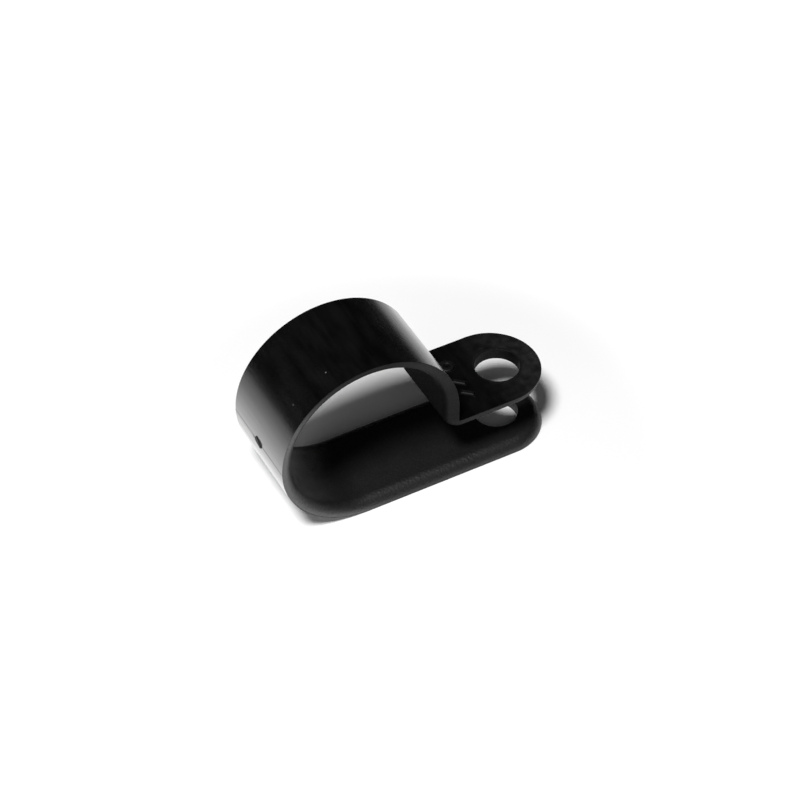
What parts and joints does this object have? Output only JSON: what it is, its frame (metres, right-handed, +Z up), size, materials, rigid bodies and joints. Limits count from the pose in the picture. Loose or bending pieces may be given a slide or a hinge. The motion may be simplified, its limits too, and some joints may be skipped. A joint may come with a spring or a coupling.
{
  "type": "p clip cable clamp",
  "caption": "Black moulded nylon P-clip: a round cable loop, a flat base and a shorter tab above it, with one fixing hole through both.",
  "frame": {"origin": "axis of the fixing hole at the underside of the base", "axes": "+X from the loop towards the round ends of base and tab, +Y along the cable, +Z up through the fixing hole, away from the surface that the base lies on"},
  "size_m": [0.0292, 0.0094, 0.018],
  "materials": {
    "black_nylon": "semi-gloss as moulded outside, finely textured on the inner faces"
  },
  "bodies": {
    "root": {"clip": "black_nylon"}
  },
  "joints": []
}
